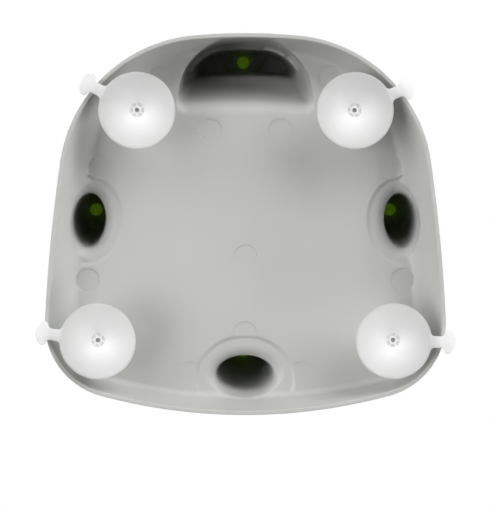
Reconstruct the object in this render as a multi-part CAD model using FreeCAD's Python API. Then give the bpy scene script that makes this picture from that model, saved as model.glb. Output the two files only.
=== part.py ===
import FreeCAD, Part
import math
import os

# Baby bath seat: a one-piece moulded base that stands on four suction cups,
# with four hollow posts that carry a round safety ring.
# Millimetres. +Z up, back of the seat at +Y, origin on the floor below the
# middle of the ring.

os.makedirs("parts", exist_ok=True)

V = FreeCAD.Vector
UP = V(0, 0, 1)

# Levels above the floor
RIM_Z = 8.0
PLATE_UNDER_Z = 42.0
LEDGE_Z = 98.0
WALL = 3.0
CEILING_Z = 190.0
PLATE_TOP_Z = PLATE_UNDER_Z + WALL
POST_TOP_Z = CEILING_Z + WALL
POST_ROOT_Z = 20.0

# Steps in which rounded edges, rim edges and shoulder slopes are laid
ROUND_STEPS = 5
RIM_STEPS = 3
SLOPE_STEPS = 4

# Plan outline of the rim: back, side and front arcs joined by corner arcs
BACK_Y = 166.8
FRONT_Y = -166.8
BACK_R = 498.0
BACK_CORNER_R = 128.7
SIDE_X = 177.5
SIDE_Y = -161.0
SIDE_R = 1451.0
FRONT_CORNER_R = 66.0
FRONT_R = 479.5

# Inward lean of the skirt, as run over rise
LEAN_SIDE = 0.574
LEAN_BACK = 0.350
LEAN_FRONT = 0.215
LEAN_CORNER = 0.40

# Lip of the rim and roundings of the tray
RIM_W = 3.7
RIM_EDGE_R = 0.8
INNER_CORNER_R = 5.0
OUTER_CORNER_R = INNER_CORNER_R + WALL

# Shoulders round the post feet: the plate steps up by this much
SHOULDER_STEP = 2.0
SHOULDER_SLOPE_W = 5.0
SHOULDER_INSET = 0.15

# Side posts
SIDE_POST_X = 138.5
SIDE_POST_Y = 1.0
SIDE_POST_TILT = 4.5
SIDE_MOUTH = (15.5, 25.0)
SIDE_CAVITY_TOP = (8.5, 17.0)
SIDE_SHOULDER = (27.0, 36.0)

# Front post
FRONT_POST_Y = -137.6
FRONT_MOUTH = (27.0, 18.5)
FRONT_CAVITY_TOP = (17.0, 8.5)
FRONT_SHOULDER_Y = -140.0
FRONT_SHOULDER = (41.0, 36.0)

# Safety ring
RING_R = 139.0
RING_Y = 1.5
RING_HALF_W = 14.0
RING_BOTTOM_R = 8.0

# Ends of the pegs: the front one sits a little inside the ring's centre line
FRONT_PEG_IN = 4.0
BACK_PEG_Y = RING_Y + RING_R
FRONT_PEG_Y = RING_Y - RING_R + FRONT_PEG_IN

# Back rest post, D-shaped in plan: half width, front edge, its arch, rounding of
# the front ends, then points on the swept flank (x, y): its start, hip, middle,
# haunch and the end of the back edge; at the rim, at the mouth, outside and
# inside the ledge and at the top
BACK_RIM = (59.0, 108.0, 2.5, 8.0,
            (58.0, 122.5), (52.0, 137.5), (41.5, 149.9), (31.5, 157.6), (20.0, 162.9))
BACK_MOUTH = (59.0, 108.0, 2.5, 8.0,
              (58.0, 122.5), (52.0, 137.2), (41.5, 149.2), (31.2, 156.4), (20.0, 161.0))
BACK_SHELF = (51.5, 127.0, 3.0, 5.5,
              (51.3, 132.6), (48.4, 140.5), (41.0, 148.2), (31.0, 154.2), (19.0, 157.5))
BACK_LEDGE = (48.0, 128.9, 3.0, 4.2,
              (47.6, 132.4), (43.6, 138.8), (36.0, 145.5), (26.0, 150.8), (15.0, 153.0))
BACK_TOP = (42.0, BACK_PEG_Y - 8.0, 2.5, 4.0,
            (41.4, BACK_PEG_Y - 4.7), (38.0, BACK_PEG_Y + 0.4), (31.0, BACK_PEG_Y + 4.9),
            (22.0, BACK_PEG_Y + 8.2), (12.0, BACK_PEG_Y + 9.5))
BACK_ARCH = 0.6

# Outward direction of each of those five flank points
BACK_NORMALS = ((0.99, 0.10), (0.90, 0.43), (0.70, 0.71), (0.50, 0.87), (0.25, 0.97))
BACK_MOUTH_RISE = 9.0
BACK_ROOT_Z = RIM_Z + 1.0

# Feet of the posts and the rolled mouths of their hollows, at one wall thickness
POST_FOOT_R = 7.0
BACK_FOOT_R = 11.0
BACK_FOOT_SWEEP = 68.0
LEAD_SIDE = 0.2
LEAD_ROUND = 0.3
MOUTH_R = POST_FOOT_R + WALL
BACK_MOUTH_R = BACK_FOOT_R + WALL
POST_TOP_R = 2.0

# Clearance round the ring's pegs and the cups' stems
BARB_GAP = 0.3

# Snap pegs of the ring and their holes
PEG_D = 9.6
PEG_HOLE_D = PEG_D + 2 * BARB_GAP
PEG_BARB_D = 11.4
PEG_TIP_D = 9.0
PEG_REACH = 7.0
PEG_NOTCH_W = 1.2

# Suction cups
CUP_R = 33.2
CUP_BACK_X = 94.2
CUP_BACK_Y = 99.9
CUP_FRONT_X = 128.9
CUP_FRONT_Y = -100.7
CUP_DEPTH = 8.5
CUP_SEAT_Z = 14.0
STEM_D = 9.4
BOSS_BORE_D = STEM_D + 2 * BARB_GAP
BOSS_D = 18.0
STEM_LEN = 13.0
STEM_BARBS = 3
BARB_START = 0.25
BARB_FULL = 0.40
BARB_END = 0.65
CUP_NECK_D = 17.0
CUP_HOLLOW_BULGE = 0.52
CUP_BACK_BULGE = 0.80
LIP_W = 1.4
LIP_T = 0.9
DIMPLE_D = 4.5
DIMPLE_DEPTH = 1.2

# Pull tab of a cup: how far outside the cup its head's round ends lie, their radius, the
# radii that blend the neck into the head and into the cup, and its turn on each cup
TAB_OUT = 14.6
TAB_REACH = CUP_R + TAB_OUT
TAB_HEAD_L = 20.6
TAB_END_R = 3.6
TAB_END_TURN = 50.0
TAB_NECK_W = 10.0
TAB_BLEND_R = 3.0
TAB_FLARE_R = 4.0
TAB_T = 1.8
TAB_Z = 0.5
TAB_TURN_BACK_LEFT = 28.3
TAB_TURN_BACK_RIGHT = 156.1
TAB_TURN_FRONT_LEFT = 8.8
TAB_TURN_FRONT_RIGHT = 181.1

# Gusset ribs round the cup sockets
GUSSETS = 4
RIB_T = 2.0
GUSSET_REACH = 20.0
GUSSET_LOW_Z = 26.0
GUSSET_OUT_Z = 39.0

# Round ejector marks under the plate, in pairs beside the middle and alone on it
MARK_D = 21.0
MARK_DEPTH = 0.4
MARK_PAIRS = [(30.8, 81.0), (128.0, 48.6), (139.6, -51.4), (50.0, -134.5), (74.8, 128.0)]
MARK_MIDDLES = [-30.2, -98.4]


def tangent_centre(c1, reach1, c2, reach2):
    """Point at two given distances from two centres, on the +X side."""
    dx = c2[0] - c1[0]
    dy = c2[1] - c1[1]
    gap = math.hypot(dx, dy)
    along = (reach1 ** 2 - reach2 ** 2 + gap ** 2) / (2 * gap)
    off = math.sqrt(reach1 ** 2 - along ** 2)
    ux = dx / gap
    uy = dy / gap
    first = (c1[0] + along * ux - off * uy, c1[1] + along * uy + off * ux)
    second = (c1[0] + along * ux + off * uy, c1[1] + along * uy - off * ux)
    return max(first, second)


def beyond(c, through, radius):
    """Point at a radius from c, on the line from c through another point."""
    dx = through[0] - c[0]
    dy = through[1] - c[1]
    scale = radius / math.hypot(dx, dy)
    return (c[0] + dx * scale, c[1] + dy * scale)


def outline(z, inset, rise):
    """Rim outline moved inward by an even inset and by the lean over a rise."""
    side_r = SIDE_R - inset - LEAN_SIDE * rise
    back_r = BACK_R - inset - LEAN_BACK * rise
    front_r = FRONT_R - inset - LEAN_FRONT * rise
    back_corner_r = BACK_CORNER_R - inset - LEAN_CORNER * rise
    front_corner_r = FRONT_CORNER_R - inset - LEAN_CORNER * rise
    side_c = (SIDE_X - SIDE_R, SIDE_Y)
    back_c = (0.0, BACK_Y - BACK_R)
    front_c = (0.0, FRONT_Y + FRONT_R)
    bc = tangent_centre(back_c, back_r - back_corner_r, side_c, side_r - back_corner_r)
    fc = tangent_centre(front_c, front_r - front_corner_r, side_c, side_r - front_corner_r)
    t1 = beyond(back_c, bc, back_r)
    t2 = beyond(side_c, bc, side_r)
    t3 = beyond(side_c, fc, side_r)
    t4 = beyond(front_c, fc, front_r)
    mid12 = beyond(bc, ((t1[0] + t2[0]) / 2, (t1[1] + t2[1]) / 2), back_corner_r)
    mid23 = beyond(side_c, ((t2[0] + t3[0]) / 2, (t2[1] + t3[1]) / 2), side_r)
    mid34 = beyond(fc, ((t3[0] + t4[0]) / 2, (t3[1] + t4[1]) / 2), front_corner_r)
    right = [t1, mid12, t2, mid23, t3, mid34, t4]
    loop = [(0.0, back_c[1] + back_r)] + right
    loop += [(0.0, front_c[1] - front_r)]
    loop += [(-x, y) for x, y in reversed(right)]
    # Three-point arcs: the back arc starts at the last point of the loop
    pts = [V(x, y, z) for x, y in loop]
    pts = pts[-1:] + pts
    arcs = []
    for i in range(0, len(pts) - 1, 2):
        arcs.append(Part.Arc(pts[i], pts[i + 1], pts[i + 2]).toShape())
    return Part.Wire(arcs)


def tray(rim_inset, edge_side, inset, top, corner_r):
    """Solid inside the leaning skirt, from a rounded rim edge to a rounded top edge."""
    wires = []
    for off, height in reversed(quarter_round(RIM_EDGE_R, RIM_STEPS)):
        wires.append(outline(RIM_Z + height, rim_inset + edge_side * off, height))
    for off, drop in quarter_round(corner_r, ROUND_STEPS):
        z = top - drop
        wires.append(outline(z, inset + off, z - RIM_Z))
    return loft(wires)


def loft(wires):
    """Straight-sided solid through a list of wires."""
    return Part.makeLoft(wires, True, True)


def oval(cx, cy, z, a, b, turn):
    """Ellipse with half widths a along X and b along Y, turned about Z."""
    if a > b:
        edge = Part.Ellipse(V(0, 0, 0), a, b).toShape()
        spin = turn
    else:
        edge = Part.Ellipse(V(0, 0, 0), b, a).toShape()
        spin = turn + 90.0
    edge.rotate(V(0, 0, 0), UP, spin)
    edge.translate(V(cx, cy, z))
    return Part.Wire([edge])


def d_wire(z, half_w, front_y, arch, round_r, flank):
    """D-shaped loop: arched front, round front ends, swept flanks and arched back."""
    low_y = front_y - arch
    trim = round_r * (1.0 - math.sqrt(0.5))
    corner = [V(half_w - round_r, low_y, z), V(half_w - trim, low_y + trim, z),
              V(half_w, low_y + round_r, z)]
    sweep = [V(x, y, z) for x, y in flank]
    sweep[-1].y -= BACK_ARCH
    edges = [
        Part.Arc(flip(corner[0]), V(0, front_y, z), corner[0]),
        Part.Arc(corner[0], corner[1], corner[2]),
        Part.LineSegment(corner[2], sweep[0]),
        Part.Arc(sweep[0], sweep[1], sweep[2]),
        Part.Arc(sweep[2], sweep[3], sweep[4]),
        Part.Arc(sweep[4], V(0, flank[-1][1], z), flip(sweep[4])),
        Part.Arc(flip(sweep[4]), flip(sweep[3]), flip(sweep[2])),
        Part.Arc(flip(sweep[2]), flip(sweep[1]), flip(sweep[0])),
        Part.LineSegment(flip(sweep[0]), flip(corner[2])),
        Part.Arc(flip(corner[2]), flip(corner[1]), flip(corner[0])),
    ]
    return Part.Wire([edge.toShape() for edge in edges])


def flip(point):
    """Point on the other side of the middle plane."""
    return V(-point.x, point.y, point.z)


def mix(low, high, share):
    """Values between two tuples at a share of the way, nested tuples too."""
    if isinstance(low, tuple):
        return tuple(mix(a, b, share) for a, b in zip(low, high))
    return low + (high - low) * share


def quarter_round(radius, steps):
    """Pairs of (inward reach, drop below the top) round a convex top edge."""
    pairs = []
    for i in range(steps + 1):
        angle = math.radians(90.0 * i / steps)
        pairs.append((radius * (1.0 - math.cos(angle)), radius * (1.0 - math.sin(angle))))
    return pairs


def foot_round(radius, sweep):
    """Pairs of (outward reach, height above the start) up a foot that turns by the sweep."""
    end = math.radians(sweep)
    pairs = []
    for i in range(ROUND_STEPS + 1):
        angle = end * i / ROUND_STEPS
        reach = radius * (math.sin(end) - math.sin(angle))
        pairs.append((reach, radius * (1.0 - math.cos(angle))))
    return pairs


def side_section(z, grow, lead):
    """Section of a side post; the lead widens it on every side but the outer one."""
    share = max(0.0, (z - PLATE_UNDER_Z) / (CEILING_Z - PLATE_UNDER_Z))
    a, b = mix(SIDE_MOUTH, SIDE_CAVITY_TOP, share)
    x, y = mix((SIDE_POST_X, SIDE_POST_Y), (RING_R, RING_Y), share)
    return oval(x - lead / 2, y, z, a + grow + lead / 2, b + grow + lead, SIDE_POST_TILT)


def front_section(z, grow, lead):
    """Section of the front post; the lead widens it on every side but the outer one."""
    share = max(0.0, (z - PLATE_UNDER_Z) / (CEILING_Z - PLATE_UNDER_Z))
    a, b = mix(FRONT_MOUTH, FRONT_CAVITY_TOP, share)
    y = mix(FRONT_POST_Y, FRONT_PEG_Y, share)
    return oval(0.0, y + lead / 2, z, a + grow + lead, b + grow + lead / 2, 0.0)


def back_wire(z, sizes, grow, lead):
    """D-shaped loop at a level, grown all round and led forward at the front."""
    half_w, front_y, arch, round_r = sizes[:4]
    flank = []
    for (x, y), (out_x, out_y) in zip(sizes[4:], BACK_NORMALS):
        flank.append((x + out_x * grow, y + out_y * grow))
    return d_wire(z, half_w + grow + lead * LEAD_SIDE, front_y - grow - lead, arch,
                  round_r + grow + lead * LEAD_ROUND, flank)


def back_section(z, grow, lead):
    """Section of the back post: the flared recess below the ledge, the core above it."""
    mouth_z = PLATE_UNDER_Z + BACK_MOUTH_RISE
    if z < mouth_z:
        sizes = mix(BACK_RIM, BACK_MOUTH, (z - RIM_Z) / (mouth_z - RIM_Z))
    elif z <= LEDGE_Z:
        sizes = mix(BACK_MOUTH, BACK_SHELF, (z - mouth_z) / (LEDGE_Z - mouth_z))
    else:
        sizes = mix(BACK_LEDGE, BACK_TOP, (z - LEDGE_Z) / (CEILING_Z - LEDGE_Z))
    return back_wire(z, sizes, grow, lead)


def post(section, root_z, foot_z, foot, waist_z):
    """Outer body of a hollow post: foot, straight flanks and a rounded top edge."""
    wires = [section(root_z, WALL, foot[0][0])]
    for reach, height in foot:
        wires.append(section(foot_z + height, WALL, reach))
    wires.append(section(waist_z, WALL, 0.0))
    for reach, drop in quarter_round(POST_TOP_R, ROUND_STEPS):
        wires.append(section(POST_TOP_Z - drop, WALL - reach, 0.0))
    return loft(wires)


def hollow(section, root_z, mouth_z, mouth, levels):
    """Cutter for a hollow with a rolled mouth, open below, up through the levels."""
    wires = [section(root_z, 0.0, mouth[0][0])]
    for reach, height in mouth:
        wires.append(section(mouth_z + height, 0.0, reach))
    for z in levels:
        wires.append(section(z, 0.0, 0.0))
    return loft(wires)


def mirrored(shape):
    """Copy of a shape on the other side of the middle plane."""
    return shape.mirror(V(0, 0, 0), V(1, 0, 0))


def shoulder(sizes, cx, cy, turn, low_z, high_z):
    """Oval step round a post foot, its slope easing in from low_z to high_z."""
    wide = SHOULDER_SLOPE_W
    wires = [oval(cx, cy, POST_ROOT_Z, sizes[0] + wide, sizes[1] + wide, turn)]
    for i in range(SLOPE_STEPS + 1):
        ease = (1.0 - math.cos(math.pi * i / SLOPE_STEPS)) / 2
        reach = wide * (1.0 - i / SLOPE_STEPS)
        z = low_z + (high_z - low_z) * ease
        wires.append(oval(cx, cy, z, sizes[0] + reach, sizes[1] + reach, turn))
    return loft(wires)


def drum(x, y, z, d, height):
    """Upright cylinder that starts at a level."""
    return Part.makeCylinder(d / 2, height, V(x, y, z))


# Outer body: tray, shoulder pads and posts
pad_sizes_side = (SIDE_SHOULDER[0] + WALL, SIDE_SHOULDER[1] + WALL)
pad_sizes_front = (FRONT_SHOULDER[0] + WALL, FRONT_SHOULDER[1] + WALL)
pad_top_z = PLATE_TOP_Z + SHOULDER_STEP
dish_z = PLATE_UNDER_Z + SHOULDER_STEP
waist_z = (PLATE_UNDER_Z + CEILING_Z) / 2

outer = tray(0.0, 1.0, 0.0, PLATE_TOP_Z, OUTER_CORNER_R)
outer_tall = tray(SHOULDER_INSET, 1.0, SHOULDER_INSET, pad_top_z, OUTER_CORNER_R)
side_pad = shoulder(pad_sizes_side, SIDE_POST_X, SIDE_POST_Y, SIDE_POST_TILT,
                    PLATE_TOP_Z, pad_top_z)
front_pad = shoulder(pad_sizes_front, 0.0, FRONT_SHOULDER_Y, 0.0, PLATE_TOP_Z, pad_top_z)
for pad in (side_pad, mirrored(side_pad), front_pad):
    outer = outer.fuse(outer_tall.common(pad))

foot = foot_round(POST_FOOT_R, 90.0)
back_foot = foot_round(BACK_FOOT_R, BACK_FOOT_SWEEP)
side_post = post(side_section, POST_ROOT_Z, pad_top_z, foot, waist_z)
front_post = post(front_section, POST_ROOT_Z, pad_top_z, foot, waist_z)
back_post = post(back_section, BACK_ROOT_Z, PLATE_TOP_Z, back_foot, LEDGE_Z)
for leg in (side_post, mirrored(side_post), front_post, back_post):
    outer = outer.fuse(leg)

# Space inside the skirt, dishes under the shoulders and hollows of the posts
inner = tray(RIM_W, -1.0, WALL, PLATE_UNDER_Z, INNER_CORNER_R)
inner_tall = tray(RIM_W + SHOULDER_INSET, -1.0, WALL + SHOULDER_INSET, dish_z, INNER_CORNER_R)
side_dish = shoulder(SIDE_SHOULDER, SIDE_POST_X, SIDE_POST_Y, SIDE_POST_TILT,
                     PLATE_UNDER_Z, dish_z)
front_dish = shoulder(FRONT_SHOULDER, 0.0, FRONT_SHOULDER_Y, 0.0, PLATE_UNDER_Z, dish_z)
dishes = [side_dish, mirrored(side_dish), front_dish]
mouth = foot_round(MOUTH_R, 90.0)
back_mouth = foot_round(BACK_MOUTH_R, BACK_FOOT_SWEEP)
post_levels = (waist_z, CEILING_Z)
side_hollow = hollow(side_section, POST_ROOT_Z, dish_z, mouth, post_levels)
front_hollow = hollow(front_section, POST_ROOT_Z, dish_z, mouth, post_levels)
back_recess = hollow(back_section, BACK_ROOT_Z, PLATE_UNDER_Z, back_mouth, (LEDGE_Z,))
back_core = loft([
    back_wire(LEDGE_Z - WALL, BACK_LEDGE, 0.0, 0.0),
    back_wire(LEDGE_Z, BACK_LEDGE, 0.0, 0.0),
    back_section(CEILING_Z, 0.0, 0.0),
])

base = outer.cut(inner)
base = base.cut([inner_tall.common(d) for d in dishes])
base = base.cut([side_hollow, mirrored(side_hollow), front_hollow, back_recess])
base = base.cut(back_core)

# Cup sockets: a bored tube with four gusset ribs at each cup
CUPS = [
    ("suction_cup_back_left", CUP_BACK_X, CUP_BACK_Y, TAB_TURN_BACK_LEFT),
    ("suction_cup_back_right", -CUP_BACK_X, CUP_BACK_Y, TAB_TURN_BACK_RIGHT),
    ("suction_cup_front_left", CUP_FRONT_X, CUP_FRONT_Y, TAB_TURN_FRONT_LEFT),
    ("suction_cup_front_right", -CUP_FRONT_X, CUP_FRONT_Y, TAB_TURN_FRONT_RIGHT),
]
root_z = PLATE_UNDER_Z + WALL / 3


def gusset(x, y, turn):
    """Triangular rib from a socket out along the plate."""
    rib = Part.makePolygon([
        V(0, -RIB_T / 2, GUSSET_LOW_Z), V(GUSSET_REACH, -RIB_T / 2, GUSSET_OUT_Z),
        V(GUSSET_REACH, -RIB_T / 2, root_z), V(0, -RIB_T / 2, root_z),
        V(0, -RIB_T / 2, GUSSET_LOW_Z),
    ])
    solid = Part.Face(rib).extrude(V(0, RIB_T, 0))
    solid.rotate(V(0, 0, 0), UP, turn)
    solid.translate(V(x, y, 0))
    return solid


sockets = []
bores = []
for name, x, y, turn in CUPS:
    sockets.append(drum(x, y, CUP_SEAT_Z, BOSS_D, root_z - CUP_SEAT_Z))
    bores.append(drum(x, y, CUP_SEAT_Z, BOSS_BORE_D, PLATE_UNDER_Z - WALL - CUP_SEAT_Z))
    for i in range(GUSSETS):
        sockets.append(gusset(x, y, turn + 360.0 * (i + 0.5) / GUSSETS))
base = base.fuse(sockets)
base = base.cut(bores)

# Holes for the snap pegs in the post tops
PEG_PLACES = [(RING_R, RING_Y), (-RING_R, RING_Y), (0.0, BACK_PEG_Y), (0.0, FRONT_PEG_Y)]
holes = [drum(x, y, CEILING_Z - WALL, PEG_HOLE_D, 3 * WALL) for x, y in PEG_PLACES]
base = base.cut(holes)

# Ejector marks
mark_places = [(side * x, y) for x, y in MARK_PAIRS for side in (1.0, -1.0)]
mark_places += [(0.0, y) for y in MARK_MIDDLES]
mark_height = PLATE_UNDER_Z + MARK_DEPTH - POST_ROOT_Z
base = base.cut([drum(x, y, POST_ROOT_Z, MARK_D, mark_height) for x, y in mark_places])
base.exportStep("parts/seat_base.step")

# Safety ring: flat underside, rounded top, swept round the seat
low = POST_TOP_Z
mid = low + RING_BOTTOM_R
in_r = RING_R - RING_HALF_W
out_r = RING_R + RING_HALF_W
flat = RING_HALF_W - RING_BOTTOM_R
bow = RING_BOTTOM_R * (1.0 - math.sqrt(0.5))
section = Part.Wire([
    Part.LineSegment(V(RING_R - flat, 0, low), V(RING_R + flat, 0, low)).toShape(),
    Part.Arc(V(RING_R + flat, 0, low), V(out_r - bow, 0, low + bow), V(out_r, 0, mid)).toShape(),
    Part.Arc(V(out_r, 0, mid), V(RING_R, 0, mid + RING_HALF_W), V(in_r, 0, mid)).toShape(),
    Part.Arc(V(in_r, 0, mid), V(in_r + bow, 0, low + bow), V(RING_R - flat, 0, low)).toShape(),
])
ring = Part.Face(section).revolve(V(0, 0, 0), UP, 360.0)
ring.translate(V(0, RING_Y, 0))


def peg(x, y):
    """Snap peg under the ring: shank, barb below the post top and a slot."""
    barb_z = CEILING_Z - BARB_GAP
    tip_z = POST_TOP_Z - PEG_REACH
    shank = drum(x, y, barb_z - BARB_GAP, PEG_D, POST_TOP_Z + BARB_GAP * 4 - barb_z)
    barb = Part.makeCone(PEG_TIP_D / 2, PEG_BARB_D / 2, barb_z - tip_z, V(x, y, tip_z))
    slot = Part.makeBox(PEG_NOTCH_W, PEG_BARB_D, POST_TOP_Z - tip_z - WALL / 2,
                        V(x - PEG_NOTCH_W / 2, y - PEG_BARB_D, tip_z))
    return shank.fuse(barb).cut(slot)


ring = ring.fuse([peg(x, y) for x, y in PEG_PLACES])
ring.exportStep("parts/ring.step")


def suction_cup():
    """Soft cup about the origin, its pull tab along +X."""
    lip_in = CUP_R - LIP_W
    stem_r = STEM_D / 2
    neck_r = stem_r - BARB_GAP
    pts = [
        V(0, 0, CUP_DEPTH + DIMPLE_DEPTH),
        V(DIMPLE_D / 2, 0, CUP_DEPTH + DIMPLE_DEPTH),
        V(DIMPLE_D / 2, 0, CUP_DEPTH),
    ]
    edges = [Part.LineSegment(a, b).toShape() for a, b in zip(pts, pts[1:])]
    edges.append(Part.Arc(pts[-1], V(CUP_R / 2, 0, CUP_DEPTH * CUP_HOLLOW_BULGE), V(lip_in, 0, 0)).toShape())
    edges.append(Part.LineSegment(V(lip_in, 0, 0), V(CUP_R, 0, 0)).toShape())
    edges.append(Part.LineSegment(V(CUP_R, 0, 0), V(CUP_R, 0, LIP_T)).toShape())
    edges.append(Part.Arc(V(CUP_R, 0, LIP_T), V(CUP_R / 2, 0, CUP_DEPTH * CUP_BACK_BULGE),
                          V(CUP_NECK_D / 2, 0, CUP_SEAT_Z - WALL)).toShape())
    stem = [V(CUP_NECK_D / 2, 0, CUP_SEAT_Z - WALL), V(CUP_NECK_D / 2, 0, CUP_SEAT_Z),
            V(neck_r, 0, CUP_SEAT_Z)]
    pitch = STEM_LEN / STEM_BARBS
    for i in range(STEM_BARBS):
        z = CUP_SEAT_Z + pitch * i
        stem.append(V(neck_r, 0, z + pitch * BARB_START))
        stem.append(V(stem_r, 0, z + pitch * BARB_FULL))
        stem.append(V(stem_r, 0, z + pitch * BARB_END))
        stem.append(V(neck_r, 0, z + pitch))
    stem += [V(0, 0, CUP_SEAT_Z + STEM_LEN), pts[0]]
    edges += [Part.LineSegment(a, b).toShape() for a, b in zip(stem, stem[1:])]
    body = Part.Face(Part.Wire(edges)).revolve(V(0, 0, 0), UP, 360.0)
    return body.fuse(pull_tab())


def turned(centre, radius, degrees):
    """Point on a circle in the tab's lower plane."""
    angle = math.radians(degrees)
    return V(centre[0] + radius * math.cos(angle), centre[1] + radius * math.sin(angle), TAB_Z)


def lower(point):
    """Point on the other side of the tab's long axis."""
    return V(point.x, -point.y, point.z)


def pull_tab():
    """Flat tab along +X: flared root, straight neck and a head with a bowed outer edge."""
    half_neck = TAB_NECK_W / 2
    # Blend from the cup's rim into the neck
    flare_y = half_neck + TAB_FLARE_R
    flare_c = (math.sqrt((CUP_R + TAB_FLARE_R) ** 2 - flare_y ** 2), flare_y)
    flare_turn = 180.0 + math.degrees(math.atan2(flare_c[1], flare_c[0]))
    # Round end of the head and the blend from the neck into it
    end_c = (TAB_REACH, TAB_HEAD_L / 2 - TAB_END_R)
    blend_y = half_neck + TAB_BLEND_R
    drop = blend_y - end_c[1]
    blend_c = (TAB_REACH - math.sqrt((TAB_END_R + TAB_BLEND_R) ** 2 - drop ** 2), blend_y)
    blend_turn = -math.degrees(math.atan2(drop, TAB_REACH - blend_c[0]))
    # Bow of the outer edge, tangent to both round ends
    last = turned(end_c, TAB_END_R, TAB_END_TURN)
    bow_r = last.y / math.sin(math.radians(TAB_END_TURN))
    bow_c = (last.x - bow_r * math.cos(math.radians(TAB_END_TURN)), 0.0)
    arcs = [
        (flare_c, TAB_FLARE_R, flare_turn, 270.0),
        (blend_c, TAB_BLEND_R, -90.0, blend_turn),
        (end_c, TAB_END_R, 180.0 + blend_turn, TAB_END_TURN),
    ]
    upper = []
    for centre, radius, start, stop in arcs:
        upper.append([turned(centre, radius, start + (stop - start) * share)
                      for share in (0.0, 0.5, 1.0)])
    root = V(CUP_R - LIP_W, upper[0][0].y, TAB_Z)
    edges = [
        Part.LineSegment(lower(root), root),
        Part.LineSegment(root, upper[0][0]),
        Part.Arc(*upper[0]),
        Part.LineSegment(upper[0][2], upper[1][0]),
        Part.Arc(*upper[1]),
        Part.Arc(*upper[2]),
        Part.Arc(last, turned(bow_c, bow_r, 0.0), lower(last)),
        Part.Arc(*[lower(p) for p in reversed(upper[2])]),
        Part.Arc(*[lower(p) for p in reversed(upper[1])]),
        Part.LineSegment(lower(upper[1][0]), lower(upper[0][2])),
        Part.Arc(*[lower(p) for p in reversed(upper[0])]),
        Part.LineSegment(lower(upper[0][0]), lower(root)),
    ]
    plan = Part.Wire([edge.toShape() for edge in edges])
    return Part.Face(plan).extrude(V(0, 0, TAB_T))


cup = suction_cup()
for name, x, y, turn in CUPS:
    placed = cup.copy()
    placed.rotate(V(0, 0, 0), UP, turn)
    placed.translate(V(x, y, 0))
    placed.exportStep("parts/" + name + ".step")
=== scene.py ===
import math

import bmesh
import bpy
from mathutils import Matrix, Vector


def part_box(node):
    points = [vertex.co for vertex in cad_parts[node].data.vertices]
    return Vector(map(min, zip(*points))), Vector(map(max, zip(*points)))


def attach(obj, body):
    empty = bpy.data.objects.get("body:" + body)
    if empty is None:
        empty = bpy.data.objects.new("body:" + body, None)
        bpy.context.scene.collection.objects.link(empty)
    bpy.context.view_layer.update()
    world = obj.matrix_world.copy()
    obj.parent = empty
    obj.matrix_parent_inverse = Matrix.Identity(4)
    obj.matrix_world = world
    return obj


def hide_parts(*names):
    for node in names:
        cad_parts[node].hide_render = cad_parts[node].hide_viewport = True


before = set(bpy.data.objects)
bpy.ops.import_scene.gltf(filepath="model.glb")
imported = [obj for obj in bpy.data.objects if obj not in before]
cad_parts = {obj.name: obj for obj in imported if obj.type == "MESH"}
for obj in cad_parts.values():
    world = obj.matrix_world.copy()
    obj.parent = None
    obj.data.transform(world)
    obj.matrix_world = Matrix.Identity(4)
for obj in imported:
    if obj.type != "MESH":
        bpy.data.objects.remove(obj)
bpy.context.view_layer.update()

bl_info = {
    "name": "Baby bath seat",
    "version": (1, 0, 0),
    "blender": (4, 5, 0),
    "location": "3D View > Sidebar > Bath seat",
    "description": "Dresses the solids of a baby bath seat: base, safety ring and suction cups",
    "category": "Object",
}

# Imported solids, in metres: the box that the dressed seat keeps to, the posts and the ring
POST_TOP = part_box("seat_base")[1].z
RING_LOW, RING_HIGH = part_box("ring")
RING_OUT = (RING_HIGH.x - RING_LOW.x) / 2
RING_Y = (RING_HIGH.y + RING_LOW.y) / 2
CUP_NODES = (
    "suction_cup_back_left",
    "suction_cup_back_right",
    "suction_cup_front_left",
    "suction_cup_front_right",
)

# Sides of the round forms
RING_SIDES = 240
CUP_SIDES = 96
PEG_SIDES = 48

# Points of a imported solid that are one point, and edges too short to keep
SAME_POINT = 2e-6
SHORT_EDGE = 1e-6

# Snap pegs: radii at the tip and at the barb as shares of the diameter, height of the barb
# as a share of the reach, and the block that cuts the slot
PEG_TIP = 0.47
PEG_BARB = 0.594
PEG_BARB_TALL = 0.529
PEG_SLOT = (0.0012, 0.0114, 0.011)

# Middle of a cup's underside: the pit, the groove round it and the easing of their corners
PIT_R = 0.0020
PIT_DEEP = 0.0018
GROOVE_IN = 0.0034
GROOVE_OUT = 0.0061
GROOVE_DEEP = 0.0004
EASE = 0.0003
NICK = 0.0001

# Ribs across the groove: radius of their circle, and length, width and height
RIB_ROUND = 0.0048
RIB_SIZE = (0.0026, 0.0012, 0.0008)

# Walls of a cup: height half-way out as a share of the depth, for the hollow and the back
HOLLOW_BULGE = 0.52
BACK_BULGE = 0.80

# Lip of a cup: flat width, rounding below, and rounding above with its centre's level
LIP_WIDE = 0.0014
LIP_ROUND = 0.00025
LIP_BACK_ROUND = 0.00030
LIP_BACK_LEVEL = 0.00062
LIP_BACK_END = (0.0002, 0.0009)

# Neck of a cup under its socket, and the barbed stem above it; a barb starts, reaches its
# full width, leaves it and ends at these shares of its pitch
NECK_R = 0.0085
NECK_TALL = 0.0025
STEM_R = 0.0044
STEM_BARB_R = 0.0047
STEM_LONG = 0.013
STEM_BARBS = 3
BARB_SHARES = ((STEM_R, 0.25), (STEM_BARB_R, 0.40), (STEM_BARB_R, 0.65), (STEM_R, 1.0))

# Pull tab: half widths of neck and head, radii of the blends into the cup and the head, of
# the head's round ends, the angle at which its bowed edge starts, the levels and the edge
TAB_NECK = 0.0050
TAB_HEAD = 0.0103
TAB_FLARE = 0.0040
TAB_BLEND = 0.0030
TAB_END = 0.0036
TAB_TURN = 50.0
TAB_LOW = 0.0005
TAB_HIGH = 0.0023
TAB_EDGE = 0.00035

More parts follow.
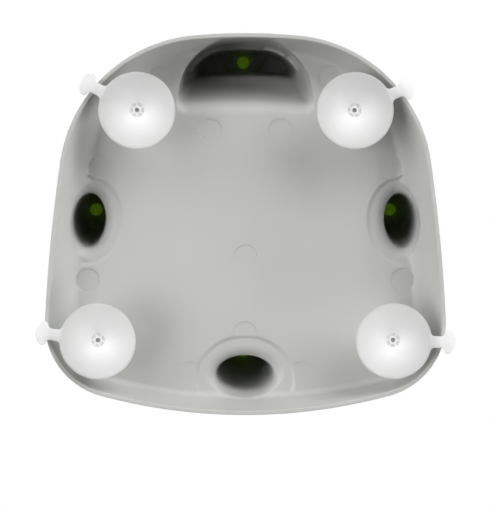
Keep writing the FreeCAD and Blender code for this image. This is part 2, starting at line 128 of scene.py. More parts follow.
# Mesh attribute for painted shade in the narrow pit and groove in the middle of a cup, how
# strongly it darkens them, and the levels above the hollow and the radii between which it does
HUB_PAINTED_SHADE = "hub_shade"
PIT_PAINTED_SHADE = 1.0
GROOVE_PAINTED_SHADE = 0.45
HUB_LEVELS = (0.0003, 0.002)
HUB_R = 0.0062
HUB_PIT_R = 0.0022

# Painted glow, a faint emission that stands in for light coming through the plastic: its
# top just below the post tops, and its tint inside the base
PAINTED_GLOW_TOP = POST_TOP - 0.0005
PAINTED_GLOW_TINT = (0.95, 1.0, 0.75)

# Lamps as (name, degrees off the line of sight, degrees round it from the picture's
# right over its top, strength); each is a soft sun as wide as LAMP_SPREAD
LAMP_SPREAD = 28
LAMPS = (
    ("right_low", 62, 30, 1.16),
    ("right_high", 62, 60, 0.90),
    ("top_right", 50, 60, 0.46),
    ("top_left", 50, 120, 0.46),
    ("top_left_edge", 62, 150, 0.66),
    ("left", 38, 180, 0.74),
    ("left_edge", 62, 180, 0.46),
    ("left_low", 50, 210, 0.42),
    ("bottom_right_edge", 75, 330, 1.03),
)

# Lamps above the seat as (name, place, power), their size and what they are aimed at
SOFTBOXES = (
    ("key_above", (-1.3, -1.4, 2.2), 26.0),
    ("fill_above", (1.6, 1.2, 1.8), 12.0),
)
SOFTBOX_SIZE = 1.2
SOFTBOX_TARGET = (0, 0, 0.1)

# Room: half the floor's width, strength of the light from above and the upward share of a
# direction from which on it is full
FLOOR_REACH = 12.0
SKY_STRENGTH = 0.55
SKY_FULL = 0.4

# Camera: sensor and reach of sight, focal length and height of the picture in pixels,
# place, line of sight and upward direction
SENSOR = 36.0
CLIP_END = 100.0
FOCAL_PIXELS = 2286.0
PICTURE_PIXELS = 507.0
CAMERA_PLACE = (0.0294, 0.1468, -1.9746)
CAMERA_AHEAD = (-0.01466, -0.0861, 0.9962)
CAMERA_UP = (0, 0.9963, 0.0861)


def size(name, description, default):
    """Size in metres among the settings."""
    return bpy.props.FloatProperty(
        name=name, description=description, default=default, unit="LENGTH", precision=4)


def colour(name, description, default):
    """Colour among the settings."""
    return bpy.props.FloatVectorProperty(
        name=name, description=description, subtype="COLOR", size=3, default=default, min=0, max=1)


def share(name, description, default):
    """Share between none and all among the settings."""
    return bpy.props.FloatProperty(
        name=name, description=description, subtype="FACTOR", default=default, min=0, max=1)


class BathSeatShape(bpy.types.PropertyGroup):
    """Sizes of the pieces that are made here."""

    ring_half_width: size("Ring half width", "Half the width of the safety ring's section", 0.01395)
    ring_foot_round: size("Ring foot rounding", "Rounding along the ring's flat underside", 0.008)
    peg_diameter: size("Peg diameter", "Shank of the snap pegs under the ring", 0.0096)
    peg_reach: size("Peg reach", "How far the pegs stand out below the ring", 0.007)
    front_peg_in: size(
        "Front peg inset", "How far the front peg sits inside the ring's centre line", 0.004)
    cup_radius: size("Cup radius", "Radius of a suction cup at its lip", 0.0332)
    cup_depth: size("Cup depth", "Depth of the hollow under a suction cup", 0.0085)
    cup_seat: size("Cup seat", "Level at which a cup meets its socket", 0.014)
    rib_count: bpy.props.IntProperty(
        name="Hub ribs", description="Small ribs round the middle of a cup",
        default=6, min=1, max=24)
    tab_reach: size(
        "Tab reach", "Distance from a cup's middle to the round ends of its pull tab", 0.0478)
    shade_angle: bpy.props.FloatProperty(
        name="Shading angle", description="Edges blunter than this are shaded smooth",
        default=math.radians(32), subtype="ANGLE")


class BathSeatLook(bpy.types.PropertyGroup):
    """Colours and finishes of the materials."""

    base_colour: colour("Base colour", "Grey of the moulded base", (0.524, 0.530, 0.512))
    ring_colour: colour("Ring colour", "Lime green of the safety ring", (0.270, 0.540, 0.012))
    cup_colour: colour("Cup colour", "White of the soft suction cups", (0.960, 0.960, 0.960))
    # Painted glow: emission on the green plastic below the post tops, lighting its pegs
    peg_painted_glow: share("Peg glow", "Daylight that the green plastic passes down to its pegs", 0.09)
    # Painted glow: emission on the base below the post tops, lifting its dark hollows
    wall_painted_glow: share("Wall glow", "Daylight that comes through the base's thin walls", 0.001)
    base_roughness: share("Base roughness", "Satin finish of the base", 0.48)


# Helpers

def add(tree, kind, inputs=None, **settings):
    """Node in a tree with its settings, and its inputs given as values or as sockets."""
    node = tree.nodes.new(kind)
    for name, value in settings.items():
        setattr(node, name, value)
    for name, value in (inputs or {}).items():
        if isinstance(value, bpy.types.NodeSocket):
            tree.links.new(value, node.inputs[name])
        else:
            node.inputs[name].default_value = value
    return node


def maths(tree, operation, *values):
    """Result of a sum, product or comparison of sockets and values."""
    return add(tree, "ShaderNodeMath", dict(enumerate(values)), operation=operation).outputs[0]


def scaled(tree, colour_socket, amount):
    """Colour made lighter or darker by an amount."""
    return add(tree, "ShaderNodeVectorMath", {0: colour_socket, "Scale": amount},
               operation="SCALE").outputs["Vector"]


def moved(tree, geometry, translation):
    """Geometry moved by a vector, or straight up by a single socket."""
    if isinstance(translation, bpy.types.NodeSocketFloat):
        translation = add(tree, "ShaderNodeCombineXYZ", {"Z": translation}).outputs["Vector"]
    return add(tree, "GeometryNodeTransform", {
        "Geometry": geometry, "Translation": translation}).outputs["Geometry"]


def united(tree, kind, socket, parts, **settings):
    """Result of a node that takes several geometries at one socket."""
    node = add(tree, kind, **settings)
    for part in parts:
        tree.links.new(part, node.inputs[socket])
    return node.outputs[0]


def finish_tree(tree, geometry, material):
    """End of a geometry tree: real meshes in their material."""
    real = add(tree, "GeometryNodeRealizeInstances", {"Geometry": geometry})
    coat = add(tree, "GeometryNodeSetMaterial", {
        "Geometry": real.outputs["Geometry"], "Material": material})
    add(tree, "NodeGroupOutput", {"Geometry": coat.outputs["Geometry"]})


def new_tree(name, kind, inputs, outputs):
    """Node group with inputs and outputs as (name, type), and the sockets its inputs give."""
    tree = bpy.data.node_groups.new(name, kind)
    for way, sockets in (("INPUT", inputs), ("OUTPUT", outputs)):
        for label, socket in sockets:
            tree.interface.new_socket(label, in_out=way, socket_type=socket)
    return tree, tree.nodes.new("NodeGroupInput").outputs


def shade(mesh, angle):
    """Smooth shading with hard edges where faces meet more sharply than the angle."""
    mesh.shade_smooth()
    mesh.set_sharp_from_angle(angle=angle)


def settle(name, mesh, material, replaced):
    """Finished piece at the origin that stands in place of its solid."""
    piece = bpy.data.objects.new(name, mesh)
    bpy.context.scene.collection.objects.link(piece)
    mesh.materials.clear()
    mesh.materials.append(material)
    mesh.polygons.foreach_set("material_index", [0] * len(mesh.polygons))
    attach(piece, "root")
    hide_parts(replaced)


def baked(piece):
    """Plain mesh of a piece with its modifiers applied; the piece itself goes."""
    graph = bpy.context.evaluated_depsgraph_get()
    graph.update()
    mesh = bpy.data.meshes.new_from_object(
        piece.evaluated_get(graph), preserve_all_data_layers=True, depsgraph=graph)
    piece.modifiers.clear()
    bpy.data.objects.remove(piece)
    return mesh


def grown(mesh, tree, values):
    """Plain mesh that a Geometry Nodes tree makes of a mesh, with the tree's inputs set."""
    holder = bpy.data.objects.new(tree.name, mesh)
    bpy.context.scene.collection.objects.link(holder)
    modifier = holder.modifiers.new(tree.name, "NODES")
    modifier.node_group = tree
    sockets = {item.name: item.identifier for item in tree.interface.items_tree
               if item.item_type == "SOCKET" and item.in_out == "INPUT"}
    for name, value in values.items():
        modifier[sockets[name]] = value
    return baked(holder)


def closed_mesh(form, name):
    """Mesh of a closed form, its faces turned outwards."""
    bmesh.ops.recalc_face_normals(form, faces=form.faces)
    mesh = bpy.data.meshes.new(name)
    form.to_mesh(mesh)
    form.free()
    return mesh


def on_circle(centre, radius, angle):
    """Point of a circle at an angle in radians."""
    return centre[0] + radius * math.cos(angle), centre[1] + radius * math.sin(angle)


def rounded(radius, centre, start, stop, steps):
    """Points of an arc about a centre between two angles in degrees, both ends kept."""
    return [on_circle(centre, radius, math.radians(start + (stop - start) * i / steps))
            for i in range(steps + 1)]


def arc_points(first, middle, last, steps):
    """Points of the arc through three points in a plane, the first one left out."""
    (ax, ay), (bx, by), (cx, cy) = first, middle, last
    d = 2 * (ax * (by - cy) + bx * (cy - ay) + cx * (ay - by))
    a2, b2, c2 = ax * ax + ay * ay, bx * bx + by * by, cx * cx + cy * cy
    centre = ((a2 * (by - cy) + b2 * (cy - ay) + c2 * (ay - by)) / d,
              (a2 * (cx - bx) + b2 * (ax - cx) + c2 * (bx - ax)) / d)
    radius = math.hypot(ax - centre[0], ay - centre[1])
    start, via, stop = (
        math.atan2(y - centre[1], x - centre[0]) for x, y in (first, middle, last))
    sweep = (stop - start) % math.tau
    if (via - start) % math.tau > sweep:
        sweep -= math.tau
    return [on_circle(centre, radius, start + sweep * i / steps) for i in range(1, steps + 1)]


# Materials

def moulded_grain():
    """Colour mottling, roughness change and fine grain shared by the moulded plastics."""
    made = bpy.data.node_groups.get("moulded_grain")
    if made:
        return made
    tree, give = new_tree("moulded_grain", "ShaderNodeTree", (
        ("Colour", "NodeSocketColor"),
        ("Roughness", "NodeSocketFloat"),
        ("Roughness Change", "NodeSocketFloat"),
        ("Grain Scale", "NodeSocketFloat"),
        ("Grain Depth", "NodeSocketFloat"),
        ("Mottle Scale", "NodeSocketFloat"),
    ), (
        ("Colour", "NodeSocketColor"),
        ("Roughness", "NodeSocketFloat"),
        ("Height", "NodeSocketFloat"),
    ))
    place = add(tree, "ShaderNodeTexCoord").outputs["Object"]
    mottle = add(tree, "ShaderNodeTexNoise", {
        "Vector": place, "Scale": give["Mottle Scale"], "Detail": 3.0}).outputs["Fac"]
    tone = add(tree, "ShaderNodeMapRange", {
        "Value": mottle, "From Min": 0.3, "From Max": 0.7, "To Min": 0.98, "To Max": 1.02})
    grain = add(tree, "ShaderNodeTexNoise", {
        "Vector": place, "Scale": give["Grain Scale"], "Detail": 2.0, "Roughness": 0.6})
    centred = maths(tree, "SUBTRACT", mottle, 0.5)
    add(tree, "NodeGroupOutput", {
        "Colour": scaled(tree, give["Colour"], tone.outputs["Result"]),
        "Roughness": maths(
            tree, "MULTIPLY_ADD", centred, give["Roughness Change"], give["Roughness"]),
        "Height": maths(tree, "MULTIPLY", grain.outputs["Fac"], give["Grain Depth"])})
    return tree


def moulded_plastic(name, tint, roughness, change, grain_scale, grain_depth, mottle_scale):
    """Moulded plastic with a fine grain, in one colour."""
    material = bpy.data.materials.new(name)
    material.use_nodes = True
    tree = material.node_tree
    shader = tree.nodes["Principled BSDF"]
    grain = add(tree, "ShaderNodeGroup", node_tree=moulded_grain())
    for key, value in (("Colour", (*tint, 1)), ("Roughness", roughness),
                       ("Roughness Change", change), ("Grain Scale", grain_scale),
                       ("Grain Depth", grain_depth), ("Mottle Scale", mottle_scale)):
        grain.inputs[key].default_value = value
    bump = add(tree, "ShaderNodeBump", {
        "Height": grain.outputs["Height"], "Strength": 1.0, "Distance": 0.001})
    tree.links.new(grain.outputs["Colour"], shader.inputs["Base Color"])
    tree.links.new(grain.outputs["Roughness"], shader.inputs["Roughness"])
    tree.links.new(bump.outputs["Normal"], shader.inputs["Normal"])
    shader.inputs["IOR"].default_value = 1.49
    return material


def painted_glow_inside(material, tint, strength):
    """Painted glow: a faint emission, standing in for daylight through the plastic, on what lies
    below the post tops.
    """
    tree = material.node_tree
    shader = tree.nodes["Principled BSDF"]
    place = add(tree, "ShaderNodeSeparateXYZ", {
        0: add(tree, "ShaderNodeTexCoord").outputs["Object"]})
    under = maths(tree, "LESS_THAN", place.outputs["Z"], PAINTED_GLOW_TOP)
    shader.inputs["Emission Color"].default_value = (*tint, 1)
    tree.links.new(maths(tree, "MULTIPLY", under, strength), shader.inputs["Emission Strength"])


def soft_white(tint):
    """Soft white plastic that lets a little light through, with painted shade darkening the marked
    pit and groove of the hub.
    """
    material = moulded_plastic(
        "white_soft_plastic", tint, roughness=0.46, change=0.08,
        grain_scale=1800.0, grain_depth=0.01, mottle_scale=20.0)
    tree = material.node_tree
    shader = tree.nodes["Principled BSDF"]
    shader.inputs["Subsurface Weight"].default_value = 1.0
    shader.inputs["Subsurface Radius"].default_value = (1.0, 1.0, 1.0)
    shader.inputs["Subsurface Scale"].default_value = 0.008
    plain = shader.inputs["Base Color"].links[0].from_socket
    # Painted shade: the marked pit and groove darkened to half the white
    hub = add(tree, "ShaderNodeAttribute", attribute_name=HUB_PAINTED_SHADE)
    dim = add(tree, "ShaderNodeMapRange", {
        "Value": hub.outputs["Fac"], "To Min": 1.0, "To Max": 0.5})
    tree.links.new(scaled(tree, plain, dim.outputs["Result"]), shader.inputs["Base Color"])
    return material


# Base moulding

class BATHSEAT_OT_base(bpy.types.Operator):
    """Dress the one-piece base moulding"""

    bl_idname = "bathseat.base"
    bl_label = "Base moulding"

    def execute(self, context):
        shape = context.scene.bath_seat_shape
        look = context.scene.bath_seat_look
        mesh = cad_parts["seat_base"].data.copy()
        form = bmesh.new()
        form.from_mesh(mesh)
        bmesh.ops.remove_doubles(form, verts=form.verts, dist=SAME_POINT)
        bmesh.ops.dissolve_degenerate(form, edges=form.edges, dist=SHORT_EDGE)
        form.to_mesh(mesh)
        form.free()
        shade(mesh, shape.shade_angle)
        holder = bpy.data.objects.new("base_holder", mesh)
        context.scene.collection.objects.link(holder)
        weigh = holder.modifiers.new("even_shading", "WEIGHTED_NORMAL")
        weigh.keep_sharp = True
        weigh.weight = 100
        plastic = moulded_plastic(
            "grey_moulded_plastic", look.base_colour, look.base_roughness, change=0.10,
            grain_scale=1400.0, grain_depth=0.02, mottle_scale=9.0)
        # Painted glow inside the base below the post tops
        painted_glow_inside(plastic, PAINTED_GLOW_TINT, look.wall_painted_glow)
        settle("base_moulding", baked(holder), plastic, "seat_base")
        return {"FINISHED"}


# Safety ring

def ring_body(tree, give):
    """Ring swept round its centre line: a flat foot with rounded edges under a half-round top."""
    width = maths(tree, "MULTIPLY", give["Half Width"], 2.0)
    height = maths(tree, "ADD", give["Half Width"], give["Foot Rounding"])
    block = add(tree, "GeometryNodeCurvePrimitiveQuadrilateral", {
        "Width": width, "Height": height}, mode="RECTANGLE")
    place = add(tree, "ShaderNodeSeparateXYZ", {
        "Vector": add(tree, "GeometryNodeInputPosition").outputs["Position"]})
    is_top = add(tree, "FunctionNodeCompare", {"A": place.outputs["Y"], "B": 0.0},
                 data_type="FLOAT", operation="GREATER_THAN")
    bend = add(tree, "GeometryNodeSwitch", {
        "Switch": is_top.outputs["Result"], "False": give["Foot Rounding"],
        "True": give["Half Width"]}, input_type="FLOAT")
    section = add(tree, "GeometryNodeFilletCurve", {
        "Curve": block.outputs["Curve"], "Count": 12, "Radius": bend.outputs["Output"],
        "Limit Radius": True}, mode="POLY")
    path = add(tree, "GeometryNodeCurvePrimitiveCircle", {
        "Resolution": RING_SIDES, "Radius": give["Ring Radius"]}, mode="RADIUS")
    upright = add(tree, "GeometryNodeSetCurveNormal", {"Curve": path.outputs["Curve"]}, mode="Z_UP")
    sweep = add(tree, "GeometryNodeCurveToMesh", {
        "Curve": upright.outputs["Curve"], "Profile Curve": section.outputs["Curve"]})
    lift = add(tree, "ShaderNodeCombineXYZ", {"Z": maths(tree, "MULTIPLY", height, 0.5)})
    middle = add(tree, "ShaderNodeVectorMath", {0: give["Centre"], 1: lift.outputs["Vector"]},
                 operation="ADD")
    return moved(tree, sweep.outputs["Mesh"], middle.outputs["Vector"])


def snap_peg(tree, give):
    """Peg below its point: a shank over a barb, cut by a slot from its middle outwards."""
    across, reach = give["Peg Diameter"], give["Peg Reach"]
    barb = add(tree, "GeometryNodeMeshCone", {
        "Vertices": PEG_SIDES, "Radius Top": maths(tree, "MULTIPLY", across, PEG_BARB),
        "Radius Bottom": maths(tree, "MULTIPLY", across, PEG_TIP),
        "Depth": maths(tree, "MULTIPLY", reach, PEG_BARB_TALL)}, fill_type="NGON")
    shank = add(tree, "GeometryNodeMeshCylinder", {
        "Vertices": PEG_SIDES, "Radius": maths(tree, "MULTIPLY", across, 0.5), "Depth": reach},
        fill_type="NGON")
    whole = united(tree, "GeometryNodeMeshBoolean", "Mesh 2", (
        barb.outputs["Mesh"], moved(tree, shank.outputs["Mesh"], reach)),
        operation="UNION", solver="EXACT")
    block = add(tree, "GeometryNodeMeshCube", {"Size": PEG_SLOT})
    slot = moved(tree, block.outputs["Mesh"], (0.0, -PEG_SLOT[1] / 2, 0.0))
    slotted = add(tree, "GeometryNodeMeshBoolean", {"Mesh 1": whole, "Mesh 2": slot},
                  operation="DIFFERENCE", solver="EXACT")
    return moved(tree, slotted.outputs["Mesh"], maths(tree, "MULTIPLY", reach, -1.0))


def ring_tree():
    """Safety ring, with a slotted snap peg at each point given."""
    tree, give = new_tree("safety_ring", "GeometryNodeTree", (
        ("Geometry", "NodeSocketGeometry"),
        ("Ring Radius", "NodeSocketFloat"),
        ("Half Width", "NodeSocketFloat"),
        ("Foot Rounding", "NodeSocketFloat"),
        ("Peg Diameter", "NodeSocketFloat"),
        ("Peg Reach", "NodeSocketFloat"),
        ("Centre", "NodeSocketVector"),
        ("Material", "NodeSocketMaterial"),
    ), (("Geometry", "NodeSocketGeometry"),))
    ring = ring_body(tree, give)
    pegs = add(tree, "GeometryNodeInstanceOnPoints", {
        "Points": give["Geometry"], "Instance": snap_peg(tree, give)})
    both = united(tree, "GeometryNodeJoinGeometry", "Geometry", (ring, pegs.outputs["Instances"]))
    finish_tree(tree, both, give["Material"])
    return tree


class BATHSEAT_OT_ring(bpy.types.Operator):
    """Make the safety ring with its four snap pegs"""

    bl_idname = "bathseat.ring"
    bl_label = "Safety ring"

    def execute(self, context):
        shape = context.scene.bath_seat_shape
        look = context.scene.bath_seat_look
        plastic = moulded_plastic(
            "green_moulded_plastic", look.ring_colour, roughness=0.42, change=0.10,
            grain_scale=1400.0, grain_depth=0.015, mottle_scale=12.0)
        # Painted glow on the pegs below the post tops, in the ring's green
        painted_glow_inside(plastic, look.ring_colour, look.peg_painted_glow)
        radius = RING_OUT - shape.ring_half_width
        places = [(radius, RING_Y), (-radius, RING_Y), (0, RING_Y + radius),
                  (0, RING_Y - radius + shape.front_peg_in)]
        dots = bpy.data.meshes.new("peg_places")
        dots.from_pydata([(x, y, POST_TOP) for x, y in places], [], [])
        mesh = grown(dots, ring_tree(), {
            "Ring Radius": radius, "Half Width": shape.ring_half_width,
            "Foot Rounding": shape.ring_foot_round, "Peg Diameter": shape.peg_diameter,
            "Peg Reach": shape.peg_reach, "Centre": (0.0, RING_Y, POST_TOP),
            "Material": plastic})
        shade(mesh, shape.shade_angle)
        settle("safety_ring", mesh, plastic, "ring")
        return {"FINISHED"}


# Suction cups

def cup_profile(shape):
    """Outline of a cup in radius and height, from its middle below to its middle above."""
    radius, depth, seat = shape.cup_radius, shape.cup_depth, shape.cup_seat
    pit, groove = depth + PIT_DEEP, depth + GROOVE_DEEP
    points = [(0, pit), (PIT_R - NICK - EASE, pit), (PIT_R - NICK, pit - EASE),
              (PIT_R, depth + NICK), (PIT_R + EASE, depth), (GROOVE_IN, depth),
              (GROOVE_IN + EASE, groove), (GROOVE_OUT - EASE, groove), (GROOVE_OUT, depth)]
    points += arc_points((GROOVE_OUT + NICK, depth - NICK), (radius / 2, depth * HOLLOW_BULGE),
                         (radius - LIP_WIDE, 0.0), steps=24)
    points += rounded(LIP_ROUND, (radius - LIP_ROUND, LIP_ROUND), -90, 0, steps=3)
    points += rounded(
        LIP_BACK_ROUND, (radius - LIP_BACK_ROUND, LIP_BACK_LEVEL), 0, 75, steps=3)
    points += arc_points((radius - LIP_BACK_END[0], LIP_BACK_END[1]),
                         (radius / 2, depth * BACK_BULGE), (NECK_R, seat - NECK_TALL), steps=14)
    points += [(NECK_R, seat), (STEM_R, seat)]
    pitch = STEM_LONG / STEM_BARBS
    for i in range(STEM_BARBS):
        points += [(wide, seat + pitch * (i + along)) for wide, along in BARB_SHARES]
    return points + [(0, seat + STEM_LONG)]


def spun(points, sides):
    """Closed mesh of a profile turned round the upright axis; its two ends lie on the axis."""
    form = bmesh.new()
    rows = []
    for radius, z in points:
        if radius == 0:
            rows.append([form.verts.new((0, 0, z))] * sides)
        else:
            rows.append([form.verts.new((*on_circle((0, 0), radius, math.tau * i / sides), z))
                         for i in range(sides)])
    for low, high in zip(rows, rows[1:]):
        for i in range(sides):
            j = (i + 1) % sides
            form.faces.new(list(dict.fromkeys((low[i], low[j], high[j], high[i]))))
    return closed_mesh(form, "spun")


def tab_outline(shape):
    """Outline of a pull tab along +X: flared root, straight neck and a head with a bowed end."""
    cup, reach = shape.cup_radius, shape.tab_reach
    flare_at = (math.sqrt((cup + TAB_FLARE) ** 2 - (TAB_NECK + TAB_FLARE) ** 2),
                TAB_NECK + TAB_FLARE)
    flare_turn = 180 + math.degrees(math.atan2(flare_at[1], flare_at[0]))
    end_at = (reach, TAB_HEAD - TAB_END)
    drop = TAB_NECK + TAB_BLEND - end_at[1]
    blend_at = (reach - math.sqrt((TAB_END + TAB_BLEND) ** 2 - drop ** 2), TAB_NECK + TAB_BLEND)
    blend_turn = -math.degrees(math.atan2(drop, reach - blend_at[0]))
    turn = math.radians(TAB_TURN)
    last = on_circle(end_at, TAB_END, turn)
    bow = last[1] / math.sin(turn)
    bow_at = (last[0] - bow * math.cos(turn), 0)
    upper = rounded(TAB_FLARE, flare_at, flare_turn, 270, steps=5)
    upper.insert(0, (cup - LIP_WIDE, upper[0][1]))
    upper += rounded(TAB_BLEND, blend_at, -90, blend_turn, steps=4)
    upper += rounded(TAB_END, end_at, 180 + blend_turn, TAB_TURN, steps=9)[1:]
    upper += rounded(bow, bow_at, TAB_TURN, 0, steps=8)[1:]
    return upper + [(x, -y) for x, y in reversed(upper[:-1])]


def slab(outline, low, high, edge):
    """Closed plate over an outline, its edges rounded."""
    count = len(outline)
    inward = []
    for i in range(count):
        ax, ay = outline[i - 1]
        bx, by = outline[(i + 1) % count]
        away = math.hypot(bx - ax, by - ay)
        inward.append(((by - ay) / away, -(bx - ax) / away))
    # How far in from the outline each row of points lies, and its level
    levels = rounded(edge, (edge, low + edge), 270, 180, steps=2)
    levels += rounded(edge, (edge, high - edge), 180, 90, steps=2)
    form = bmesh.new()
    rows = [[form.verts.new((x + nx * inset, y + ny * inset, z))
             for (x, y), (nx, ny) in zip(outline, inward)] for inset, z in levels]
    for below, above in zip(rows, rows[1:]):
        for i in range(count):
            j = (i + 1) % count
            form.faces.new([below[i], below[j], above[j], above[i]])
    form.faces.new(list(reversed(rows[0])))
    form.faces.new(rows[-1])
    return closed_mesh(form, "slab")


def cup_tree():
    """Cup and tab made one, with a round of small ribs across the groove in the middle."""
    tree, give = new_tree("suction_cup", "GeometryNodeTree", (
        ("Geometry", "NodeSocketGeometry"),
        ("Tab", "NodeSocketObject"),
        ("Rib Count", "NodeSocketInt"),
        ("Rib Round", "NodeSocketFloat"),
        ("Rib Size", "NodeSocketVector"),
        ("Rib Level", "NodeSocketFloat"),
        ("Material", "NodeSocketMaterial"),
    ), (("Geometry", "NodeSocketGeometry"),))
    tab = add(tree, "GeometryNodeObjectInfo", {"Object": give["Tab"]}, transform_space="ORIGINAL")
    places = add(tree, "GeometryNodeMeshCircle", {
        "Vertices": give["Rib Count"], "Radius": give["Rib Round"]}, fill_type="NONE")
    rib = add(tree, "GeometryNodeMeshCube", {"Size": give["Rib Size"]})
    outward = add(tree, "FunctionNodeAlignRotationToVector", {
        "Vector": add(tree, "GeometryNodeInputPosition").outputs["Position"]},
        axis="X", pivot_axis="Z")
    ribs = add(tree, "GeometryNodeInstanceOnPoints", {
        "Points": places.outputs["Mesh"], "Instance": rib.outputs["Mesh"],
        "Rotation": outward.outputs["Rotation"]})
    solid_ribs = add(tree, "GeometryNodeRealizeInstances", {"Geometry": ribs.outputs["Instances"]})
    whole = united(tree, "GeometryNodeMeshBoolean", "Mesh 2", (
        give["Geometry"], tab.outputs["Geometry"],
        moved(tree, solid_ribs.outputs["Geometry"], give["Rib Level"])),
        operation="UNION", solver="EXACT")
    finish_tree(tree, whole, give["Material"])
    return tree


def paint_hub_shade(mesh, level):
    """Mark painted shade on the pit and the groove of a cup that is still at the origin."""
    marks = mesh.attributes.new(HUB_PAINTED_SHADE, "FLOAT", "POINT")
    for corner in mesh.vertices:
        out = math.hypot(corner.co.x, corner.co.y)
        deep = level + HUB_LEVELS[0] < corner.co.z < level + HUB_LEVELS[1]
        if deep and out < HUB_R:
            marks.data[corner.index].value = PIT_PAINTED_SHADE if out < HUB_PIT_R else GROOVE_PAINTED_SHADE


def cup_place(node, cup_radius):
    """Placement of a cup: its axis from the top of the stem, its turn from the pull tab."""
    points = [corner.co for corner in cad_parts[node].data.vertices]
    top = max(p.z for p in points)
    stem = [p for p in points if p.z > top - 1e-4]
    x = (max(p.x for p in stem) + min(p.x for p in stem)) / 2
    y = (max(p.y for p in stem) + min(p.y for p in stem)) / 2
    tab = [p for p in points if math.hypot(p.x - x, p.y - y) > cup_radius * 1.2]
    ahead = Vector((sum(p.x - x for p in tab), sum(p.y - y for p in tab)))
    lead = math.atan2(ahead.y, ahead.x)
    swing = [(math.atan2(p.y - y, p.x - x) - lead + math.pi) % math.tau - math.pi for p in tab]
    turn = lead + (max(swing) + min(swing)) / 2
    return Matrix.Translation((x, y, 0)) @ Matrix.Rotation(turn, 4, "Z")


class BATHSEAT_OT_cups(bpy.types.Operator):
    """Make the four suction cups with their pull tabs"""

    bl_idname = "bathseat.cups"
    bl_label = "Suction cups"

    def execute(self, context):
        shape = context.scene.bath_seat_shape
        look = context.scene.bath_seat_look
        plastic = soft_white(look.cup_colour)
        tree = cup_tree()
        tab = bpy.data.objects.new(
            "pull_tab", slab(tab_outline(shape), TAB_LOW, TAB_HIGH, TAB_EDGE))
        context.scene.collection.objects.link(tab)
        for node in CUP_NODES:
            mesh = grown(spun(cup_profile(shape), CUP_SIDES), tree, {
                "Tab": tab, "Rib Count": shape.rib_count, "Rib Round": RIB_ROUND,
                "Rib Size": RIB_SIZE, "Rib Level": shape.cup_depth + GROOVE_DEEP,
                "Material": plastic})
            # Painted shade marked on the hub's pit and groove
            paint_hub_shade(mesh, shape.cup_depth)
            mesh.transform(cup_place(node, shape.cup_radius))
            shade(mesh, shape.shade_angle)
            settle("soft_" + node, mesh, plastic, node)
        bpy.data.objects.remove(tab)
        return {"FINISHED"}


# Stage

def one_sided_floor():
    """Pale floor seen from above only."""
    material = bpy.data.materials.new("pale_floor")
    material.use_nodes = True
    tree = material.node_tree
    shader = tree.nodes["Principled BSDF"]
    shader.inputs["Base Color"].default_value = (0.86, 0.86, 0.86, 1)
    shader.inputs["Roughness"].default_value = 0.9
    side = add(tree, "ShaderNodeNewGeometry")
    clear = add(tree, "ShaderNodeBsdfTransparent")
    mix = add(tree, "ShaderNodeMixShader", {
        0: side.outputs["Backfacing"], 1: shader.outputs[0], 2: clear.outputs[0]})
    tree.links.new(mix.outputs[0], tree.nodes["Material Output"].inputs["Surface"])
    return material


def soft_room():
    """White behind the seat; soft light on it only from above."""
    world = bpy.data.worlds.new("soft_room")
    world.use_nodes = True
    tree = world.node_tree
    way = add(tree, "ShaderNodeSeparateXYZ", {
        0: add(tree, "ShaderNodeTexCoord").outputs["Generated"]})
    sky = add(tree, "ShaderNodeMapRange", {
        "Value": way.outputs["Z"], "From Min": 0.0, "From Max": SKY_FULL,
        "To Min": 0.0, "To Max": SKY_STRENGTH})
    path = add(tree, "ShaderNodeLightPath")
    seen = maths(
        tree, "MAXIMUM", path.outputs["Is Camera Ray"], path.outputs["Is Transmission Ray"])
    level = maths(tree, "MAXIMUM", sky.outputs["Result"], seen)
    background = tree.nodes["Background"]
    background.inputs["Color"].default_value = (1, 1, 1, 1)
    tree.links.new(level, background.inputs["Strength"])
    return world


def sun(name, off_axis, around, strength):
    """Soft sun from below, placed about the line of sight of the picture."""
    data = bpy.data.lights.new(name, "SUN")
    data.energy = strength
    data.angle = math.radians(LAMP_SPREAD)
    item = bpy.data.objects.new(name, data)
    bpy.context.scene.collection.objects.link(item)
    off_axis, around = math.radians(off_axis), math.radians(around)
    shining = Vector((math.sin(off_axis) * math.cos(around), -math.sin(off_axis) * math.sin(around),
                      math.cos(off_axis)))
    item.rotation_euler = shining.to_track_quat("-Z", "Y").to_euler()


def softbox(name, place, power):
    """Soft square lamp above the seat that the camera doesn't see."""
    data = bpy.data.lights.new(name, "AREA")
    data.shape = "SQUARE"
    data.size = SOFTBOX_SIZE
    data.energy = power
    item = bpy.data.objects.new(name, data)
    bpy.context.scene.collection.objects.link(item)
    item.location = place
    shining = Vector(SOFTBOX_TARGET) - Vector(place)
    item.rotation_euler = shining.to_track_quat("-Z", "Y").to_euler()
    item.visible_camera = False


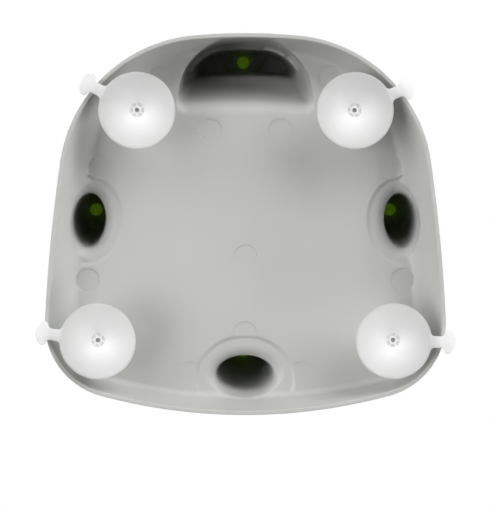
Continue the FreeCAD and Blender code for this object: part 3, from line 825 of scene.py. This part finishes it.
class BATHSEAT_OT_stage(bpy.types.Operator):
    """Set up the floor, the lamps, the world and the camera"""

    bl_idname = "bathseat.stage"
    bl_label = "Stage"

    def execute(self, context):
        scene = context.scene
        floor_mesh = bpy.data.meshes.new("floor")
        corners = ((-1, -1), (1, -1), (1, 1), (-1, 1))
        floor_mesh.from_pydata(
            [(x * FLOOR_REACH, y * FLOOR_REACH, 0) for x, y in corners], [], [(0, 1, 2, 3)])
        floor_mesh.materials.append(one_sided_floor())
        floor = bpy.data.objects.new("floor", floor_mesh)
        scene.collection.objects.link(floor)
        floor.visible_shadow = False
        floor.visible_diffuse = False
        floor.visible_glossy = False
        scene.world = soft_room()
        for lamp in LAMPS:
            sun(*lamp)
        for lamp in SOFTBOXES:
            softbox(*lamp)

        lens = bpy.data.cameras.new("camera")
        lens.sensor_width = SENSOR
        lens.lens = SENSOR * FOCAL_PIXELS / PICTURE_PIXELS
        lens.clip_end = CLIP_END
        camera = bpy.data.objects.new("camera", lens)
        scene.collection.objects.link(camera)
        ahead = Vector(CAMERA_AHEAD).normalized()
        right = ahead.cross(Vector(CAMERA_UP)).normalized()
        upward = right.cross(ahead).normalized()
        turn = Matrix((right, upward, -ahead)).transposed().to_4x4()
        camera.matrix_world = Matrix.Translation(CAMERA_PLACE) @ turn
        scene.camera = camera
        scene.view_settings.view_transform = "Standard"
        return {"FINISHED"}


class BATHSEAT_PT_panel(bpy.types.Panel):
    """Sidebar panel with the seat's pieces and sizes"""

    bl_idname = "BATHSEAT_PT_panel"
    bl_label = "Bath seat"
    bl_space_type = "VIEW_3D"
    bl_region_type = "UI"
    bl_category = "Bath seat"

    def draw(self, context):
        layout = self.layout
        for group in (context.scene.bath_seat_shape, context.scene.bath_seat_look):
            for name in group.__annotations__:
                layout.prop(group, name)
        for operator in OPERATORS:
            layout.operator(operator.bl_idname)


OPERATORS = (BATHSEAT_OT_base, BATHSEAT_OT_ring, BATHSEAT_OT_cups, BATHSEAT_OT_stage)
CLASSES = (BathSeatShape, BathSeatLook) + OPERATORS + (BATHSEAT_PT_panel,)


def register():
    """Register the classes and hang the settings on the scene."""
    for item in CLASSES:
        bpy.utils.register_class(item)
    bpy.types.Scene.bath_seat_shape = bpy.props.PointerProperty(type=BathSeatShape)
    bpy.types.Scene.bath_seat_look = bpy.props.PointerProperty(type=BathSeatLook)


def unregister():
    """Take the settings and the classes away again."""
    del bpy.types.Scene.bath_seat_look
    del bpy.types.Scene.bath_seat_shape
    for item in reversed(CLASSES):
        bpy.utils.unregister_class(item)


def main():
    """Make every piece and the stage."""
    register()
    bpy.ops.bathseat.base()
    bpy.ops.bathseat.ring()
    bpy.ops.bathseat.cups()
    bpy.ops.bathseat.stage()


if __name__ == "__main__":
    main()
